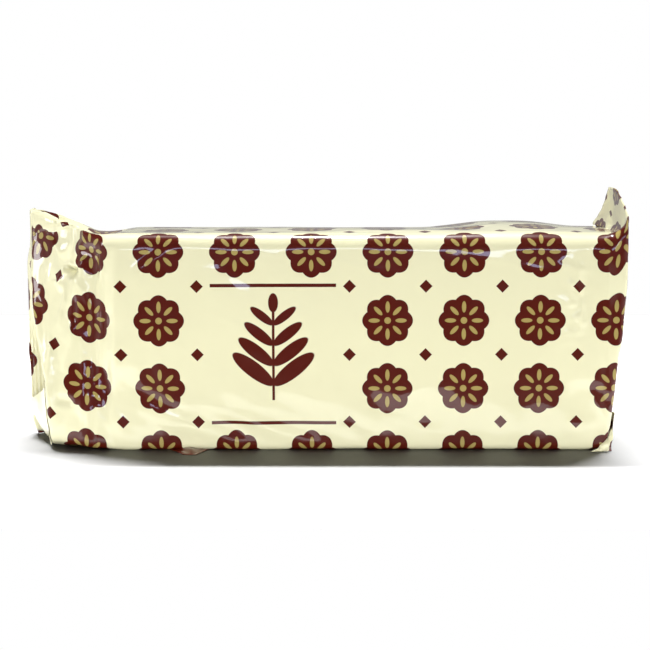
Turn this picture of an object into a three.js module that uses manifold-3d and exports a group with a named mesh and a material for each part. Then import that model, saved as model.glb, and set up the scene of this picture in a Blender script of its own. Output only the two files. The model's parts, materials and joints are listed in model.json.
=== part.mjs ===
// A 3 kg loaf of sesame halva, sealed in a glossy printed film as a flow pack.
//
// Millimetres, +Z up. The pack lies on one long narrow side: X runs along the loaf, the large front
// panel faces -Y, and the origin is the middle of the pack's footprint, on the surface under it.
// The film closes on the loaf like a sleeve. Its left end runs out past the loaf as a pillow that
// narrows to an upright crimped fin, and its right end is folded flat against the loaf's end face,
// where the spare film stands up as a pointed ear. The film can't be seen into, so film and loaf
// are one closed solid.

import * as THREE from "three";
import { mergeVertices } from "three/addons/utils/BufferGeometryUtils.js";
import Module from "manifold-3d";

// The loaf inside the film.
const LOAF_LENGTH = 272;
const LOAF_HEIGHT = 113;
const LOAF_DEPTH = 83;
const LOAF_EDGE_RADIUS = 8;

// The film sleeve round it.
const FILM_EASE = 1; // how far the film stands off the loaf on every side
const PANEL_CROWN = 1.2; // how far the large panels swell in their middle
const TOP_FALL = 2.5; // how much lower the top is at its back edge
const TENT_RISE = 6.5; // how far the film lifts off the top on its way to the right ear
const TENT_START = 190; // where that lift starts, from the loaf's right end
const CREASE_HEIGHT = 3; // how high the lower long edges stand off the surface

// The left end: pillow, fin and the folded corners of the film.
const PILLOW_LENGTH = 37;
const FIN_WIDTH = 11;
const FIN_THICKNESS = 1.8;
const FIN_TOP = 126;
const FIN_BOTTOM = 20;
const FIN_LAP = 6; // how far a fin or flap reaches into the film that it grows out of
const RIDGE_RISE = 10; // how far the pillow's top ridge climbs to the fin
const LOW_FLAP_TIP = 39;
const BACK_FLAP_DROP = 30;

// The right end: the fin folded flat on the end face, the standing ear and the crumpled low corner.
const END_FIN_WIDTH = 12;
const EAR_TIP = 135;
const EAR_SHOULDER = 124;
const EAR_THICKNESS = 2.4;
const EAR_BLUNT = 4; // half the width of the ear's cut tip
const LOW_EAR_TOP = 32;
const LOW_EAR_REACH = 17;

// The seam down the back, where the sleeve's two edges are sealed and laid flat.
const SEAM_WIDTH = 13;
const SEAM_THICKNESS = 1.2;

// How finely the sleeve is divided.
const SIDE_STEPS = 8;
const CORNER_STEPS = 4;
const PILLOW_STEPS = 9;
const LOAF_STEPS = 20;
const END_STEPS = 4;

const sleeveHeight = LOAF_HEIGHT + 2 * FILM_EASE;
const halfDepth = LOAF_DEPTH / 2 + FILM_EASE;
const packLength = FIN_WIDTH + PILLOW_LENGTH + LOAF_LENGTH + FILM_EASE + FIN_THICKNESS / 2;
const finEdge = -packLength / 2;
const sealLine = finEdge + FIN_WIDTH;
const loafLeft = sealLine + PILLOW_LENGTH;
const loafRight = loafLeft + LOAF_LENGTH + FILM_EASE;
const edgeRadius = LOAF_EDGE_RADIUS + FILM_EASE;

const film = new THREE.MeshStandardMaterial({
  name: "printed_film",
  color: new THREE.Color(0.93, 0.9, 0.7),
  roughness: 0.18,
  metalness: 0,
});

// 0 before start, 1 after end, and a smooth climb between them.
function climb(value, start, end) {
  return THREE.MathUtils.smoothstep(value, start, end);
}

// How much of the loaf's half depth the sleeve keeps at x: all of it over the loaf, and a quarter
// ellipse down to the fin over the pillow.
function depthShare(x) {
  if (x >= loafLeft) return 1;
  const out = Math.min((loafLeft - x) / PILLOW_LENGTH, 1);
  return Math.max(Math.sqrt(1 - out * out), FIN_THICKNESS / 2 / halfDepth);
}

// The height of the sleeve's top over the surface, at x along the pack and y across it.
function topHeight(x, y) {
  const across = Math.min(Math.abs(y) / halfDepth, 1);
  const tent = TENT_RISE * climb(x, loafRight - TENT_START, loafRight - TENT_START / 3) * (1 - across * across);
  const ridge = RIDGE_RISE * climb(-x, -loafLeft, -sealLine) * (1 - across);
  const fall = (TOP_FALL * (y + halfDepth)) / (2 * halfDepth);
  return sleeveHeight + tent + ridge - fall;
}

// How far the front and back panels swell at height z and at x.
function crown(x, z) {
  const up = Math.sin((Math.PI * z) / sleeveHeight);
  const along = Math.sin(Math.PI * THREE.MathUtils.clamp((x - loafLeft) / LOAF_LENGTH, 0, 1));
  return PANEL_CROWN * Math.max(up, 0) * Math.sqrt(along);
}

// The points of a rounded rectangle in the Y-Z plane, from its front lower corner up the front,
// over the top, down the back and along the bottom. Every ring has as many points.
function roundedRing(low, high, half, radius) {
  const corners = [
    [-half + radius, low + radius, Math.PI * 1.5],
    [-half + radius, high - radius, Math.PI],
    [half - radius, high - radius, Math.PI / 2],
    [half - radius, low + radius, 0],
  ];
  const ring = [];
  corners.forEach(([y, z, from], index) => {
    for (let step = 0; step <= CORNER_STEPS; step++) {
      const angle = from - (step / CORNER_STEPS) * (Math.PI / 2);
      ring.push(new THREE.Vector2(y + radius * Math.cos(angle), z + radius * Math.sin(angle)));
    }
    const [nextY, nextZ, nextFrom] = corners[(index + 1) % corners.length];
    const start = ring[ring.length - 1];
    const end = new THREE.Vector2(nextY + radius * Math.cos(nextFrom), nextZ + radius * Math.sin(nextFrom));
    for (let step = 1; step < SIDE_STEPS; step++) ring.push(start.clone().lerp(end, step / SIDE_STEPS));
  });
  return ring;
}

// One closed ring of the sleeve at x. Inset draws it in where the sleeve turns over the right end.
function sleeveRing(x, inset) {
  const half = halfDepth * depthShare(x) - inset;
  const radius = Math.max(Math.min(edgeRadius - inset / 2, half * 0.9), 0.2);
  return roundedRing(inset, sleeveHeight - inset, half, radius).map(({ x: y, y: z }) => {
    const upper = climb(z, sleeveHeight / 2, sleeveHeight);
    const lift = (topHeight(x, y) - sleeveHeight) * upper;
    const foot = CREASE_HEIGHT * climb(Math.abs(y), half - radius, half) * (1 - climb(z, 0, radius));
    const swell = Math.abs(y) > half - radius / 2 ? Math.sign(y) * crown(x, z) : 0;
    return new THREE.Vector3(x, y + swell, z + lift + foot);
  });
}

// A closed skin over rings of equal point counts, with a fan over its first and last ring.
function skin(rings) {
  const count = rings[0].length;
  const points = rings.flat();
  const faces = [];
  for (let ring = 0; ring + 1 < rings.length; ring++) {
    for (let k = 0; k < count; k++) {
      const next = (k + 1) % count;
      const [a, b] = [ring * count + k, ring * count + next];
      faces.push(a, a + count, b, b, a + count, b + count);
    }
  }
  for (const [ring, turned] of [[0, false], [rings.length - 1, true]]) {
    const middle = new THREE.Vector3();
    rings[ring].forEach((point) => middle.addScaledVector(point, 1 / count));
    points.push(middle);
    for (let k = 0; k < count; k++) {
      const edge = [ring * count + k, ring * count + ((k + 1) % count)];
      if (turned) edge.reverse();
      faces.push(...edge, points.length - 1);
    }
  }
  const geometry = new THREE.BufferGeometry().setFromPoints(points);
  geometry.setIndex(faces);
  return geometry;
}

function sleeve() {
  const rings = [];
  for (let step = 0; step < PILLOW_STEPS; step++) {
    const turn = ((Math.PI / 2) * step) / PILLOW_STEPS;
    rings.push(sleeveRing(loafLeft - PILLOW_LENGTH * Math.cos(turn), 0));
  }
  const turnStart = loafRight - edgeRadius;
  for (let step = 0; step < LOAF_STEPS; step++) {
    rings.push(sleeveRing(THREE.MathUtils.lerp(loafLeft, turnStart, step / LOAF_STEPS), 0));
  }
  for (let step = 0; step <= END_STEPS; step++) {
    const turn = ((Math.PI / 2) * step) / END_STEPS;
    rings.push(sleeveRing(turnStart + edgeRadius * Math.sin(turn), edgeRadius * (1 - Math.cos(turn))));
  }
  return skin(rings);
}

// A flat flap of film: an outline of [across, up] points, given a thickness about its own plane.
function flap(outline, thickness) {
  const shape = new THREE.Shape(outline.map(([across, up]) => new THREE.Vector2(across, up)));
  const geometry = new THREE.ExtrudeGeometry(shape, { depth: thickness, bevelEnabled: false });
  geometry.translate(0, 0, -thickness / 2);
  geometry.rotateX(Math.PI / 2); // across is now X and up is now Z
  return geometry;
}

// The crimped fin that closes the left end, upright in the middle of the pack's depth.
function leftFin() {
  const inner = sealLine + FIN_LAP;
  return flap(
    [
      [inner, FIN_BOTTOM / 2],
      [inner, FIN_TOP - RIDGE_RISE],
      [inner, FIN_TOP - 1],
      [finEdge, FIN_TOP],
      [finEdge, FIN_BOTTOM],
      [sealLine, FIN_BOTTOM / 4],
    ],
    FIN_THICKNESS,
  );
}

// The film's lower left corner, folded up over the fin, on its front side.
function lowLeftFlap() {
  const outline = [
    [sealLine + 2, 1],
    [sealLine + 4, LOW_FLAP_TIP / 2],
    [sealLine + 1, LOW_FLAP_TIP],
    [finEdge + 1, FIN_BOTTOM],
  ];
  const geometry = flap(outline, FIN_THICKNESS * 1.5);
  geometry.translate(0, -FIN_THICKNESS, 0);
  return geometry;
}

// The film's upper left corner, folded down behind the fin.
function backLeftFlap() {
  const outline = [
    [sealLine + FIN_LAP * 2, FIN_TOP - RIDGE_RISE],
    [sealLine + FIN_LAP, FIN_TOP - 1],
    [finEdge + 1, FIN_TOP - 1],
    [finEdge + 3, FIN_TOP - BACK_FLAP_DROP],
    [sealLine, FIN_TOP - BACK_FLAP_DROP],
  ];
  const geometry = flap(outline, FIN_THICKNESS * 1.5);
  geometry.translate(0, FIN_THICKNESS, 0);
  return geometry;
}

// The fin of the right end, laid flat on the end face behind its middle.
function endFin() {
  const outline = [
    [0, CREASE_HEIGHT],
    [0, sleeveHeight],
    [END_FIN_WIDTH, sleeveHeight - 3],
    [END_FIN_WIDTH, CREASE_HEIGHT + 3],
  ];
  const geometry = flap(outline, FIN_THICKNESS);
  geometry.rotateZ(Math.PI / 2);
  geometry.translate(loafRight, 0, 0);
  return geometry;
}

// The ear that stands up from the right end of the top, in the plane of the end face.
function rightEar() {
  const base = sleeveHeight - edgeRadius * 2;
  const outline = [
    [-halfDepth + edgeRadius, base],
    [-halfDepth + 1, sleeveHeight - edgeRadius / 2],
    [-halfDepth + 2, EAR_SHOULDER],
    [-EAR_BLUNT, EAR_TIP],
    [EAR_BLUNT, EAR_TIP - 1],
    [halfDepth - 4, sleeveHeight - edgeRadius / 2],
    [halfDepth - edgeRadius, base],
  ];
  const geometry = flap(outline, EAR_THICKNESS);
  geometry.rotateZ(Math.PI / 2);
  geometry.translate(loafRight - EAR_THICKNESS, 0, 0);
  return geometry;
}

// The crumpled ear at the foot of the right end, folded up against the end face.
function lowRightEar() {
  const outline = [
    [-LOW_EAR_REACH, CREASE_HEIGHT],
    [-LOW_EAR_REACH / 2, LOW_EAR_TOP],
    [0, LOW_EAR_TOP - 6],
    [LOW_EAR_REACH, CREASE_HEIGHT],
  ];
  const geometry = flap(outline, FIN_THICKNESS);
  geometry.rotateZ(Math.PI / 2);
  geometry.translate(loafRight, 0, 0);
  return geometry;
}

// The seam of the sleeve, laid flat along the middle of the back.
function backSeam() {
  const middle = sleeveHeight / 2;
  const outline = [
    [loafLeft, middle - SEAM_WIDTH / 2],
    [loafLeft, middle + SEAM_WIDTH / 2],
    [loafRight - edgeRadius, middle + SEAM_WIDTH / 2],
    [loafRight - edgeRadius, middle - SEAM_WIDTH / 2],
  ];
  const geometry = flap(outline, SEAM_THICKNESS * 3);
  geometry.translate(0, halfDepth + PANEL_CROWN - SEAM_THICKNESS / 2, 0);
  return geometry;
}

const wasm = await Module();
wasm.setup();

function toSolid(geometry) {
  geometry.deleteAttribute("normal");
  geometry.deleteAttribute("uv");
  const merged = mergeVertices(geometry);
  return new wasm.Manifold(
    new wasm.Mesh({
      numProp: 3,
      vertProperties: merged.attributes.position.array,
      triVerts: new Uint32Array(merged.index.array),
    }),
  );
}

function toGeometry(solid) {
  const { vertProperties, triVerts } = solid.getMesh();
  const geometry = new THREE.BufferGeometry();
  geometry.setAttribute("position", new THREE.BufferAttribute(vertProperties, 3));
  geometry.setIndex(new THREE.BufferAttribute(triVerts, 1));
  geometry.computeVertexNormals();
  return geometry;
}

const flaps = [leftFin, lowLeftFlap, backLeftFlap, endFin, rightEar, lowRightEar, backSeam];
const whole = flaps.reduce((solid, make) => solid.add(toSolid(make())), toSolid(sleeve()));

const pack = new THREE.Mesh(toGeometry(whole), film);
pack.name = "wrapped_halva_block";

// The seam makes the back stand further out than the front, so the pack is moved to the middle.
const reach = new THREE.Box3().setFromObject(pack);
pack.position.y = -(reach.min.y + reach.max.y) / 2;

const halva = new THREE.Group();
halva.add(pack);

export default halva;
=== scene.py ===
"""Dresses a block of halva in its printed film.

The film starts as the flat sheet that it was cut from. The sheet is rolled into a sleeve round the
loaf, its ends are folded and sealed, and a cloth simulation lets it settle with its own spare
length. Facets and creases are then pressed into it. Sizes are in metres, +Z up, in the frame of the
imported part.
"""

import json
import math

import bmesh
import bpy
import numpy as np
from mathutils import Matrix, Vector

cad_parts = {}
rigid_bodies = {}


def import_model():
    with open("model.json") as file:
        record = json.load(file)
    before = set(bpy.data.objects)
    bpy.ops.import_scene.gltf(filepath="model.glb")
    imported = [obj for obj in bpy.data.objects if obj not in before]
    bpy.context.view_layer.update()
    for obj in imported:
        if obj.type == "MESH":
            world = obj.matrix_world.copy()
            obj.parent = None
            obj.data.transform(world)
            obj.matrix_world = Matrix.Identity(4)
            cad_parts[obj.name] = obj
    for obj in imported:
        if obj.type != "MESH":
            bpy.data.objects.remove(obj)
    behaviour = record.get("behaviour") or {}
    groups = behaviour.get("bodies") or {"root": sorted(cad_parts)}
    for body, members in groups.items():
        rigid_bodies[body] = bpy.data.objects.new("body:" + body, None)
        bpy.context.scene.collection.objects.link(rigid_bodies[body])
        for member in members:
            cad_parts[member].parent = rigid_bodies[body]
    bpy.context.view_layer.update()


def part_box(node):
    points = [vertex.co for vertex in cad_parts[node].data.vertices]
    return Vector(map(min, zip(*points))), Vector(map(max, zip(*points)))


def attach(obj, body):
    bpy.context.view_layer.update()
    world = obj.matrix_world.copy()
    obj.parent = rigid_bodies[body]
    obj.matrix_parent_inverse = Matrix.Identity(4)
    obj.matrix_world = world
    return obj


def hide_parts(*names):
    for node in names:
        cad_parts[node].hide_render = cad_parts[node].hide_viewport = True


bl_info = {
    "name": "Film-wrapped halva block",
    "version": (1, 0, 0),
    "blender": (4, 5, 0),
    "location": "3D View > Sidebar > Halva",
    "description": "Makes a block of halva in glossy printed film, and a stage to show it on",
    "category": "Add Mesh",
}

NODE = "wrapped_halva_block"
MM = 0.001
FILM_MAP = "film"
SEAM_THICKNESS = 1.2 * MM
SEAM_WIDTH = 13 * MM
PATCH_THICKNESS = 0.3 * MM
WELD_DISTANCE = 0.01 * MM
WHITE = (1.0, 1.0, 1.0)
DAYLIGHT = (0.62, 0.7, 1.0)

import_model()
node_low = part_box(NODE)[0]


def number_setting(name, description, default, **kind):
    """A number that a user may change."""
    return bpy.props.FloatProperty(name=name, description=description, default=default, **kind)


def length_setting(name, description, default):
    """A length in metres that a user may change."""
    return number_setting(name, description, default, unit="LENGTH")


def colour_setting(name, description, default):
    """A colour that a user may change."""
    return bpy.props.FloatVectorProperty(
        name=name, description=description, default=default, subtype="COLOR", size=3, min=0, max=1
    )


class HalvaFilmSettings(bpy.types.PropertyGroup):
    """The loaf, and the film round it"""

    loaf_length: length_setting("Loaf length", "Length of the loaf inside the film", 0.272)
    loaf_height: length_setting("Loaf height", "Height of the loaf inside the film", 0.113)
    loaf_depth: length_setting("Loaf depth", "Depth of the loaf inside the film", 0.083)
    film_ease: length_setting("Film ease", "How far the film stands off the loaf", 0.001)
    top_radius: length_setting("Top edge radius", "Radius of the film over the loaf's upper edges", 0.007)
    crease_radius: length_setting("Lower crease radius", "Radius of the film's lower creases", 0.0015)
    crease_height: length_setting(
        "Lower crease height", "How high the lower creases stand off the surface", 0.0018
    )
    front_lean: length_setting("Front lean", "How far the front panel leans back at its top", 0.004)
    crown: length_setting("Crown", "How far the front panel bulges halfway up", 0.0006)
    top_fall: length_setting("Top fall", "How far the top falls from its front edge to its back edge", 0.0036)
    spare_girth: length_setting(
        "Spare girth", "How much longer the film is than the way round the loaf", 0.0012
    )
    tent_rise: length_setting("Tent rise", "How far the film lifts off the top on its way to the ear", 0.0018)
    pillow_length: length_setting("Pillow length", "From the loaf's left end to the seal", 0.037)
    pillow_film: length_setting(
        "Pillow film", "Length of the film between the loaf's left end and the seal", 0.0710
    )
    pillow_fullness: number_setting("Pillow fullness", "1 is a straight wedge in plan and 2 is round", 1.75)
    seal_lean: length_setting("Seal lean", "How much further out the left seal's upper part is pulled", 0.008)
    fin_width: length_setting("Fin width", "Width of the crimped seals", 0.011)
    fin_top: length_setting("Fin top", "Height of the left fin's upper end", 0.126)
    end_slant: length_setting("End slant", "How far the right end slants in to its foot", 0.0095)
    end_overhang: length_setting(
        "End overhang", "How far the right end's upper edge stands past the loaf", 0.0015
    )
    end_film: length_setting("End film", "Length of the film from the loaf's right end to its seal", 0.048)
    ear_tip: length_setting("Ear tip", "Height of the standing ear", 0.1375)
    ear_shoulder: length_setting("Ear shoulder", "Height of the ear's front corner", 0.124)
    ear_blunt: number_setting("Ear bluntness", "Share of the ear's half width that its blunt tip takes", 0.24)
    unevenness: length_setting("Unevenness", "Depth of the soft waves in the loaf's sides", 0.0018)
    slack: length_setting("Slack", "Depth of the soft waves in the film's panels", 0.00045)
    fine_step: length_setting("Fine step", "Distance between the film's simulated points at its ends", 0.0021)
    long_step: length_setting(
        "Long step", "Distance between the film's simulated points along the loaf", 0.0045
    )
    round_step: length_setting(
        "Round step", "Distance between the film's simulated points round the loaf", 0.0025
    )
    frames: bpy.props.IntProperty(
        name="Frames", description="How long the film is given to settle", default=24, min=1
    )


class HalvaPrintSettings(bpy.types.PropertyGroup):
    """The film's inks and its repeat"""

    cream: colour_setting("Cream", "Colour of the film", (0.86, 0.83, 0.55))
    brown: colour_setting("Brown", "Colour of the motifs", (0.088, 0.0075, 0.0025))
    gold: colour_setting("Gold", "Colour of the seeds in the motifs", (0.41, 0.32, 0.1))
    repeat_along: length_setting("Repeat along", "Distance between motifs along the pack", 0.040)
    repeat_around: length_setting("Repeat around", "Distance between motifs around the pack", 0.0355)
    rosette_radius: length_setting("Rosette radius", "Radius of a rosette's lobes", 0.0133)


class HalvaStageSettings(bpy.types.PropertyGroup):
    """The camera and the light"""

    camera_distance: length_setting("Camera distance", "From the camera to the front panel", 0.700)
    camera_height: length_setting("Camera height", "Height of the camera over the surface", 0.187)
    camera_side: length_setting("Camera side", "How far right of the middle the camera stands", 0.0026)
    camera_tilt: number_setting(
        "Camera tilt", "How far the camera looks down", math.radians(9.64), subtype="ANGLE"
    )
    lens: number_setting("Lens", "Focal length in millimetres on a 36 mm sensor", 75.3)
    light: number_setting("Light", "Brightness of all the lights together", 1.0)


def smooth_step(value, start, end):
    """0 before start, 1 after end, and a smooth climb between them."""
    share = np.clip((value - start) / (end - start), 0, 1)
    return share * share * (3 - 2 * share)


def crimp(distance, pitch=2.2 * MM, depth=0.25 * MM):
    """The ridges that the sealing jaws press across a seal."""
    return depth * np.sin(2 * math.pi * distance / pitch)


def spot(off_x, off_y, reach_x, reach_y):
    """1 in the middle of a spot, fading out over its reach each way."""
    return np.exp(-((off_x / reach_x) ** 2) - (off_y / reach_y) ** 2)


class FilmLayout:
    """Where each point of the flat film lies once it is folded round the loaf.

    Along is the distance from the sheet's left cut edge. Around is the distance from the seam in
    the middle of the back, going up, over the top and down the front. From the top's middle a point
    is spread away, on the front (front 1) or on the back (front -1).
    """

    def __init__(self, sizes):
        self.sizes = sizes
        self.height = sizes.loaf_height + 2 * sizes.film_ease
        self.half_depth = sizes.loaf_depth / 2 + sizes.film_ease
        # The CAD solid's middle lies off the sleeve's middle by half of what the seam stands out.
        self.middle_y = -SEAM_THICKNESS / 2
        self.fin_edge = node_low.x
        self.seal_left = self.fin_edge + sizes.fin_width
        self.loaf_left = self.seal_left + sizes.pillow_length
        self.loaf_right = self.loaf_left + sizes.loaf_length + sizes.film_ease
        self.profile, self.profile_length = self.half_profile()
        self.half_girth = (self.girth_needed() + sizes.spare_girth) / 2
        self.girth = 2 * self.half_girth
        self.pillow_start = sizes.fin_width
        self.loaf_start = self.pillow_start + sizes.pillow_film
        self.end_start = self.loaf_start + self.loaf_right - self.loaf_left
        self.length = self.end_start + sizes.end_film

    def half_profile(self):
        """The sleeve's front half in section, from the middle of its top to the middle of its
        bottom, as [outwards, up] points and the distance to each."""
        sizes = self.sizes
        points = [(0, self.height)]
        for turn in np.linspace(0, math.pi / 2, 9):
            out = self.half_depth - sizes.top_radius * (1 - math.sin(turn))
            points.append((out, self.height - sizes.top_radius * (1 - math.cos(turn))))
        for turn in np.linspace(0, math.pi / 2, 6):
            out = self.half_depth - sizes.crease_radius * (1 - math.cos(turn))
            points.append((out, sizes.crease_height + sizes.crease_radius * (1 - math.sin(turn))))
        points += [(self.half_depth * 0.75, 0), (0, 0)]
        points = np.array(points)
        steps = np.linalg.norm(np.diff(points, axis=0), axis=1)
        distance = np.concatenate([[0], np.cumsum(steps)])
        return (distance, points), distance[-1]

    def girth_needed(self):
        """The way round the loaf, near its left end, where the film doesn't tent."""
        distance, points = self.profile
        at = np.linspace(0, self.profile_length, 400)
        out, up = np.interp(at, distance, points[:, 0]), np.interp(at, distance, points[:, 1])
        total = 0
        for side in (1, -1):
            y, z = self.shaped(np.full(at.shape, self.loaf_left), -side * out, up)
            total += np.hypot(np.diff(y), np.diff(z)).sum()
        return total

    def ring(self, spread, front):
        """[y, z] of the straight sleeve's section."""
        distance, points = self.profile
        at = spread * self.profile_length / self.half_girth
        out = np.interp(at, distance, points[:, 0])
        return -front * out, np.interp(at, distance, points[:, 1])

    def shaped(self, x, y, z):
        """The sleeve's real form: it leans back and is crowned, its top falls to the back on the
        left and tents up to the ear on the right."""
        sizes = self.sizes
        share = np.clip(z / self.height, 0, 1)
        towards_back = np.clip(y / self.half_depth, -1, 1)
        upper = smooth_step(z, self.height * 0.5, self.height)
        tent_start, tent_full = self.loaf_right - 0.102, self.loaf_right - 0.062
        ease_start, ease_end = self.loaf_right - 0.048, self.loaf_right - 0.012
        climb = smooth_step(x, tent_start, tent_full)
        ease = smooth_step(x, ease_start, ease_end)
        lift = sizes.tent_rise * climb * (1 - 0.8 * ease) * (1 - towards_back**2)
        fall = sizes.top_fall * (1 - climb + 0.8 * ease) * (1 + towards_back) / 2
        lean = sizes.front_lean * share
        crown = sizes.crown * (1 - (2 * share - 1) ** 2)
        facing = np.clip(-towards_back * 3, 0, 1)
        return y + facing * (lean - crown), z + upper * (lift - fall)

    def end_x(self, z):
        """x of the right end, which slants in towards its foot."""
        share = np.clip(1 - z / self.height, 0, 1)
        return self.loaf_right + self.sizes.end_overhang - self.sizes.end_slant * share**2

    def seal(self, spread, front, top, low, top_tuck):
        """[y, z] of an upright seal. Where the flattened sleeve is taller than the seal, its upper
        and lower ends are tucked in between the two faces."""
        main = top - low
        rising = spread < top_tuck
        falling = spread <= top_tuck + main
        z = np.where(
            rising,
            top - top_tuck + spread,
            np.where(falling, top - (spread - top_tuck), low + (spread - top_tuck - main)),
        )
        tucked = rising | ~falling
        tucked_out, face_out, on_end = 0.25, 1.1, 1e-6
        out = np.where(tucked, tucked_out, face_out) * MM
        ends = (spread < on_end) | (spread > self.half_girth - on_end)
        return -front * np.where(ends, 0, out), z

    def left_seal(self, spread, front):
        """The left seal, from just over the surface to the fin's top, with the rest tucked in."""
        low = 2 * MM
        spare = self.half_girth - (self.sizes.fin_top - low)
        return self.seal(spread, front, self.sizes.fin_top, low, spare / 2)

    def right_seal(self, spread, front):
        """The right seal below the ear, level with the film on the loaf's sides."""
        return self.seal(spread, front, self.height + self.half_depth, 3 * MM, 0)

    def straight(self, along, spread, front):
        """The film as a straight sleeve, which keeps the lengths of the flat sheet."""
        y, z = self.ring(spread, front)
        return np.stack([self.seal_left + along - self.pillow_start, y, z], 1)

    def seal_x(self, z):
        """x of the left seal, whose upper part is pulled further out."""
        return self.seal_left - 0.5 * MM - self.sizes.seal_lean * smooth_step(z, 35 * MM, 85 * MM)

    def fin(self, along, seal_y, seal_z):
        """The crimped fin, which is bent back further up, and folded short at its foot."""
        width = self.pillow_start - along
        root = self.seal_x(seal_z)
        bend_start, bend_end = 92 * MM, 122 * MM
        edge = self.fin_edge - 1.5 * MM + 5.5 * MM * smooth_step(seal_z, bend_start, bend_end)
        cos = np.clip((root - edge) / self.sizes.fin_width, 0, 1)
        sin = np.sqrt(1 - cos**2)
        foot = 0.3 + 0.7 * smooth_step(seal_z, 2 * MM, 20 * MM)
        # Each layer keeps its distance from the other one, square to the fin, as the fin turns.
        off = seal_y + crimp(width)
        lean = sin * smooth_step(width, 0, 3 * MM)
        x = root - width * foot * cos + off * lean
        return np.stack([x, width * foot * sin + off * np.sqrt(1 - lean**2), seal_z], 1)

    def fold_line(self, z):
        """Where the pillow's front film bends round to the seal: how far out from the loaf's end, how
        far in front of the seal, and how much film is before it."""
        heights = np.array([0, 40, 54, 80, 96, 126]) * MM
        outs = np.array([31, 34.5, 38.5, 43, 45, 42]) * MM
        fronts = np.array([41.5, 35, 28, 19, 12, 2]) * MM
        out, forward = np.interp(z, heights, outs), np.interp(z, heights, fronts)
        return out, forward, np.hypot(out, self.half_depth - forward)

    def pillow(self, along, y, z, spread, front):
        """The left end. In plan it slopes in from the loaf and then bends sharply round to the seal,
        less sharply at the back."""
        sizes = self.sizes
        before = self.loaf_start - along
        share = np.clip(before / sizes.pillow_film, 0, 1)
        fullness = sizes.pillow_fullness + 4.0 * (1 - smooth_step(z, 2 * MM, 32 * MM))
        keep = np.abs(np.cos(share * math.pi / 2)) ** (2 / fullness)
        reach = np.abs(np.sin(share * math.pi / 2)) ** (2 / fullness)
        seal_y, seal_z = self.left_seal(spread, front)
        rise = smooth_step(share, 0, 0.85)
        up = z * (1 - rise) + seal_z * rise
        x = self.loaf_left - (self.loaf_left - self.seal_x(seal_z)) * reach
        place = np.stack([x, seal_y + (y - seal_y) * keep, up], 1)

        out, forward, first = self.fold_line(up)
        share_first = np.clip(before / first, 0, 1)
        share_second = np.clip((before - first) / (sizes.pillow_film - first), 0, 1)
        depth = np.abs(y) / self.half_depth
        wedge_x = self.loaf_left - out * share_first
        wedge_x += (self.seal_x(seal_z) - self.loaf_left + out) * share_second
        wedge_y = -(self.half_depth + (forward - self.half_depth) * share_first) * (1 - share_second)
        wedge_y = wedge_y * depth + (y + self.half_depth * depth) * (1 - share) + seal_y * share_second
        wedge = np.stack([wedge_x, wedge_y, up], 1)
        in_front = smooth_step(front * spread, self.half_depth * 0.3, self.half_depth)[:, None]
        place = place * (1 - in_front) + wedge * in_front
        crimped = along < self.pillow_start
        place[crimped] = self.fin(along, seal_y, seal_z)[crimped]
        return place

    def on_fold(self, along, z, spread, front):
        """Whether a point is one of those that hold the pillow's fold in place."""
        gap = self.loaf_start - along - self.fold_line(z)[2]
        row = np.round(spread / self.sizes.round_step)
        upright = (spread > self.half_depth) & (z > 1 * MM) & (z < 112 * MM)
        return (front > 0) & upright & (np.abs(gap) < self.sizes.fine_step * 0.5) & (row % 3 == 0)

    def ear_rim(self, out, front):
        """Height of the ear's upper edge at out from its middle."""
        sizes = self.sizes
        shoulder = np.where(front > 0, sizes.ear_shoulder, self.height + 1 * MM)
        climb = np.clip((1 - out / self.half_depth) / (1 - sizes.ear_blunt), 0, 1)
        climb = np.where(front > 0, climb**0.85, climb**1.3)
        return shoulder + (sizes.ear_tip - shoulder) * climb

    def ear_place(self, spread, front, past):
        """[x, y, z] on the ear, for points of the top that are past the loaf's end, and which of
        them are high enough to keep their place."""
        base = self.half_depth
        risen = np.clip(past / self.sizes.end_film, 0, 1) * base
        inner = spread + risen < base
        out = np.where(inner, spread, base - risen)
        up = np.where(inner, risen, base - spread) / np.maximum(base - out, 0.1 * MM)
        up = np.clip(up, 0, 1)
        rim = self.ear_rim(out, front)
        lift = (self.sizes.ear_shoulder - 0.5 * MM - self.height) * smooth_step(out, base * 0.7, base)
        tent = self.sizes.tent_rise * 0.2 * (1 - (out / base) ** 2)
        fall = self.sizes.top_fall * 0.8 * (1 - front * out / base) / 2
        foot = self.height + np.where(front > 0, lift, 0) + tent - fall
        z = foot + up * np.maximum(rim - foot, 0.3 * MM)
        risen_share = np.clip((z - self.height) / (self.sizes.ear_tip - self.height), 0, 1)
        # It leans in towards the loaf, more so at the back, and is hollow on its inner side.
        lean = 1.3 * MM * risen_share + np.where(front < 0, 3.5 * MM, 0) * (out / base) ** 2
        hollow = 1.2 * MM * np.sin(math.pi * up) * (1 - out / base)
        x = self.end_x(z) - lean + hollow - np.where(inner, 2.2, 0.2) * MM * (1 - 0.5 * up)
        y = -front * out + 1.2 * MM * np.sin(out / base * 7) * up
        return np.stack([x, y, z], 1), up > 0.35

    def clear_of_seals(self, along):
        """0 at both seals, where the film's two layers lie close together, and 1 away from them."""
        near_left = smooth_step(along, self.pillow_start + 2 * MM, self.pillow_start + 18 * MM)
        return near_left * (1 - smooth_step(along, self.length - 14 * MM, self.length - 4 * MM))

    def folded(self, along, spread, front):
        """The film folded round the loaf, and which of its points stand in the ear."""
        sizes = self.sizes
        y, z = self.ring(spread, front)
        x = self.loaf_left + along - self.loaf_start
        y, z = self.shaped(x, y, z)
        corner = smooth_step(x, self.loaf_right - 7 * MM, self.loaf_right + 1 * MM)
        corner = corner * smooth_step(front * spread, self.half_depth * 0.7, self.half_depth)
        lift = (sizes.ear_shoulder - self.height) * corner
        z = z + lift * smooth_step(z, self.height * 0.6, self.height)
        place = np.stack([x, y, z], 1)

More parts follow.
